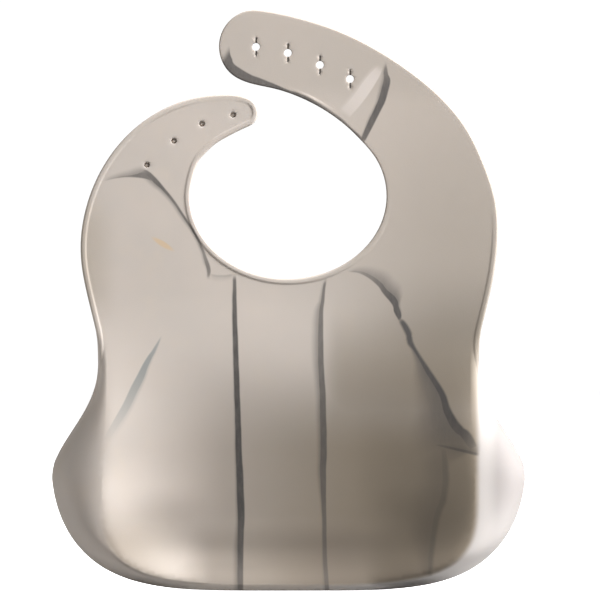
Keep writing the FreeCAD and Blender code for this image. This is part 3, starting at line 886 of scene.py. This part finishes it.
def painted_shade_and_tints(g, base, x, z):
    """Painted light and shade on the back of the bib, with a few other tints: a painted highlight colour on
    the lit -X flank;
    painted shade in grey and brown on the -X side of the chest and waist, along the +X edge of the chest,
    over the dish and over its foot;
    grey tints low on the -X flank and over the hole strap; paler behind the upper edge of the dish. x and z
    are places in the row frame."""
    aside = g.calc("POWER", g.calc("DIVIDE", g.calc("ABSOLUTE", x), RIDGE_HALF), RIDGE_POWER)
    below = g.calc("MAXIMUM", g.calc("DIVIDE", g.calc("SUBTRACT", RIDGE_Z, z), RIDGE_DROP), 0.0)
    crest = g.calc("ADD", aside, g.calc("POWER", below, RIDGE_POWER))
    inner = g.calc("MAXIMUM", g.ease(crest, 1.12, 0.95), g.ease(z, -95.0, -80.0))
    # Painted highlight: the lit -X flank outside the dish's crest turns rosier.
    flank = g.calc("MULTIPLY", g.ease(inner, 1.0, 0.0), g.ease(x, 0.0, -50.0))
    base = tint(g, base, PAINTED_HIGHLIGHT_ROSE, flank)
    base = tint(g, base, FLANK_GREY, flank, g.ease(crest, 1.05, 1.55), g.ease(z, -195.0, -150.0))
    # Painted shade: greyer towards -X, from the chest down to the waist.
    down = g.calc("MULTIPLY", g.ease(z, 90.0, -40.0, 0.5, 1.0), g.ease(z, -125.0, -85.0))
    base = tint(g, base, GREY_SHADE_AND_TINT, g.ease(x, 20.0, -95.0), down, inner)
    # Painted shade: brown on the -X side of the waist, above the dish.
    down = g.calc("MULTIPLY", g.ease(z, -30.0, -75.0, 0.0, 0.7), g.ease(z, -125.0, -95.0))
    base = tint(g, base, WAIST_SHADE_BROWN, g.ease(x, -20.0, -90.0), down, inner)
    down = g.calc("MULTIPLY", g.ease(z, -45.0, -80.0), g.ease(z, -135.0, -105.0))
    base = tint(g, base, PALE_BAND, g.ease(x, -26.0, -18.0, 0.0, 0.42), down, inner)
    # A grey tint high up, over the hole strap.
    base = tint(g, base, GREY_SHADE_AND_TINT, g.ease(x, 50.0, 30.0), g.ease(z, 45.0, 60.0, 0.0, 0.4))
    # Painted shade along the +X edge of the chest.
    down = g.calc("MULTIPLY", g.ease(z, -72.0, -45.0), g.ease(z, 8.0, -22.0))
    base = tint(g, base, EDGE_SHADE_BROWN, g.ease(x, 86.0, 104.0, 0.0, 0.45), down)
    # Painted shade over the dish: darker towards -X and downwards, and down the -X side below the waist.
    middle = g.calc("MULTIPLY", g.ease(x, 80.0, -50.0), g.ease(z, -80.0, -135.0))
    right = g.calc("MULTIPLY", g.ease(x, -8.0, -32.0, 0.0, 0.6), g.ease(z, -55.0, -100.0))
    base = tint(g, base, DISH_SHADE_BROWN, g.calc("MAXIMUM", middle, right), inner)
    # Painted shade over the dish's foot: its middle, its +X corner and its bottom edge.
    corner = g.calc("MULTIPLY", g.ease(x, 38.0, 85.0), g.ease(z, -150.0, -185.0, 0.0, 0.9))
    foot = g.calc("MULTIPLY", g.ease(x, 30.0, -30.0, 0.25, 0.85), g.ease(x, -62.0, -25.0, 0.3, 1.0))
    foot = g.calc("MULTIPLY", foot, g.ease(z, -160.0, -188.0))
    foot = g.calc("MAXIMUM", g.calc("MAXIMUM", corner, foot), g.ease(z, -182.0, -195.0, 0.0, 0.4))
    return tint(g, base, FOOT_SHADE_BROWN, foot, inner)


def silicone():
    """Satin silicone: warm beige-grey, with dark flow lines, painted shade and light on the back and along
    the hole strap's inner edge, clouds, dust and moulding grain.
    """
    g = Graph("satin_silicone")
    place = g.node("ShaderNodeAttribute", attribute_name="rest_place").outputs["Vector"]
    parts = g.node("ShaderNodeSeparateXYZ", {0: place})
    x, y, z = parts.outputs
    wobble = g.calc("MULTIPLY", g.calc("SUBTRACT", g.noise(place, 0.05, 2.0), 0.5), 0.9)
    smear = g.noise(place, 0.55, 4.0, 0.6, (1.0, 1.0, 0.28))
    # The dark lines include one band of painted shade, along the hole strap's inner edge.
    dark = strongest(g, x, z, wobble, DARK_LINES)
    dark = g.calc("MULTIPLY", dark, g.calc("MULTIPLY_ADD", smear, 0.3, 0.88), clamp=True)
    blue = strongest(g, x, z, wobble, BLUE_LINES)
    pale = strongest(g, x, z, wobble, PALE_LINES)
    cloud = g.noise(place, 0.014, 3.0, 0.5)
    fleck = g.noise(place, 0.05, 4.0, 0.6)
    base = g.mix(g.ease(cloud, 0.35, 0.65), (0.585, 0.520, 0.468, 1), (0.545, 0.492, 0.448, 1))
    base = g.mix(g.ease(fleck, 0.5, 0.75, 0.0, 0.35), base, (0.60, 0.525, 0.445, 1))
    leaf = leaf_mark(g, x, z)
    base = g.mix(g.ease(leaf, 1.1, 0.3, 0.0, 0.75), base, (0.62, 0.46, 0.29, 1))
    # The painted light and shade and the other tints go on the back of the bib only.
    behind = g.ease(y, -33.0, -25.0)
    base = g.mix(behind, base, painted_shade_and_tints(g, base, x, z))
    base = g.mix(pale, base, (0.66, 0.60, 0.56, 1))
    base = g.mix(blue, base, (0.27, 0.29, 0.29, 1))
    colour = g.mix(dark, base, (0.095, 0.088, 0.085, 1))
    colour = g.mix(slit_shade(g, x, z), colour, (0.04, 0.036, 0.033, 1))
    grain = g.noise(place, 2.2, 4.0, 0.6)
    dust = g.noise(place, 0.9, 6.0, 0.75)
    specks = g.ease(dust, 0.68, 0.78, 0.0, 0.12)
    colour = g.mix(specks, colour, (0.72, 0.68, 0.63, 1))
    rough = g.calc("ADD", g.ease(grain, 0.3, 0.7, 0.52, 0.62), g.ease(cloud, 0.3, 0.7, 0.0, 0.06))
    bump = g.node("ShaderNodeBump", {"Strength": 0.12, "Distance": 0.0003, "Height": grain})
    g.feed(g.shader.inputs["Base Color"], colour)
    g.feed(g.shader.inputs["Roughness"], rough)
    g.feed(g.shader.inputs["Normal"], bump.outputs["Normal"])
    g.feed(g.shader.inputs["Subsurface Weight"], 0.08)
    g.feed(g.shader.inputs["Subsurface Radius"], (0.004, 0.003, 0.002))
    g.feed(g.shader.inputs["Subsurface Scale"], 0.6)
    g.feed(g.shader.inputs["Specular IOR Level"], 0.3)
    return g.material


# ---------------------------------------------------------------- stage
def add_floor(height):
    """A wide pale floor, lit so brightly that it looks white from the camera."""
    g = Graph("pale_floor")
    place = g.node("ShaderNodeTexCoord").outputs["Object"]
    tooth = g.noise(place, 900.0, 2.0)
    seen = g.node("ShaderNodeLightPath").outputs["Is Camera Ray"]
    g.feed(g.shader.inputs["Base Color"], g.mix(seen, (0.22, 0.22, 0.22, 1), (0.9, 0.9, 0.9, 1)))
    g.feed(g.shader.inputs["Roughness"], 0.7)
    bump = g.node("ShaderNodeBump", {"Strength": 0.05, "Distance": 0.0002, "Height": tooth})
    g.feed(g.shader.inputs["Normal"], bump.outputs["Normal"])
    g.feed(g.shader.inputs["Emission Color"], (1, 1, 1, 1))
    g.feed(g.shader.inputs["Emission Strength"], g.calc("MULTIPLY", seen, 0.85))
    mesh = bpy.data.meshes.new("floor")
    corners = [(-6, -6, height), (6, -6, height), (6, 6, height), (-6, 6, height)]
    mesh.from_pydata(corners, [], [[0, 1, 2, 3]])
    mesh.materials.append(g.material)
    floor = bpy.data.objects.new("floor", mesh)
    bpy.context.scene.collection.objects.link(floor)
    floor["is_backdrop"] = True


def add_light(name, place, target, size, power, colour=(1, 1, 1)):
    """A square soft box at a place, facing a target."""
    lamp = bpy.data.lights.new(name, "AREA")
    lamp.shape = "SQUARE"
    lamp.size = size
    lamp.energy = power
    lamp.color = colour
    made = bpy.data.objects.new(name, lamp)
    made.location = place
    made.rotation_euler = (Vector(target) - Vector(place)).to_track_quat("-Z", "Y").to_euler()
    bpy.context.scene.collection.objects.link(made)


def add_world():
    """Surroundings that look white and give a weak, slightly warm fill."""
    world = bpy.data.worlds.new("studio")
    world.use_nodes = True
    tree = world.node_tree
    fill = tree.nodes["Background"]
    fill.inputs["Color"].default_value = (1.0, 0.91, 0.79, 1)
    fill.inputs["Strength"].default_value = 0.12
    white = tree.nodes.new("ShaderNodeBackground")
    white.inputs["Color"].default_value = (1, 1, 1, 1)
    white.inputs["Strength"].default_value = 1.05
    choice = tree.nodes.new("ShaderNodeMixShader")
    path = tree.nodes.new("ShaderNodeLightPath")
    tree.links.new(path.outputs["Is Camera Ray"], choice.inputs["Fac"])
    tree.links.new(fill.outputs[0], choice.inputs[1])
    tree.links.new(white.outputs[0], choice.inputs[2])
    tree.links.new(choice.outputs[0], tree.nodes["World Output"].inputs["Surface"])
    bpy.context.scene.world = world


def add_camera():
    """Long lens, square on to the chest side."""
    camera = bpy.data.cameras.new("camera")
    distance = 2.6
    width = 0.3108
    camera.sensor_width = 36
    camera.lens = 36 * distance / width
    made = bpy.data.objects.new("camera", camera)
    made.location = (-0.006, distance, -0.0539)
    made.rotation_euler = (math.radians(90), 0, math.radians(180))
    bpy.context.scene.collection.objects.link(made)
    bpy.context.scene.camera = made


skin_material = silicone()
build_skin(skin_material)
build_peg("peg_1", "peg_strap_base", skin_material)
build_peg("peg_2", "peg_strap_base", skin_material)
build_peg("peg_3", "peg_strap_end", skin_material)
build_peg("peg_4", "peg_strap_end", skin_material)

centre = (0, 0, -0.06)
add_floor(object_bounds()[0][2] - 0.0015)
add_light("key", (-1.8, 0.72, 1.9), centre, 0.9, 214)
add_light("side", (1.3, 0.12, -0.15), centre, 0.5, 6)
add_light("low", (-0.9, 0.0, -0.17), (-0.1, -0.01, -0.18), 0.2, 6.5)
add_light("rear", (0.2, -1.2, 0.8), centre, 1.0, 12)
bpy.context.scene.view_settings.view_transform = "Standard"
add_world()
add_camera()
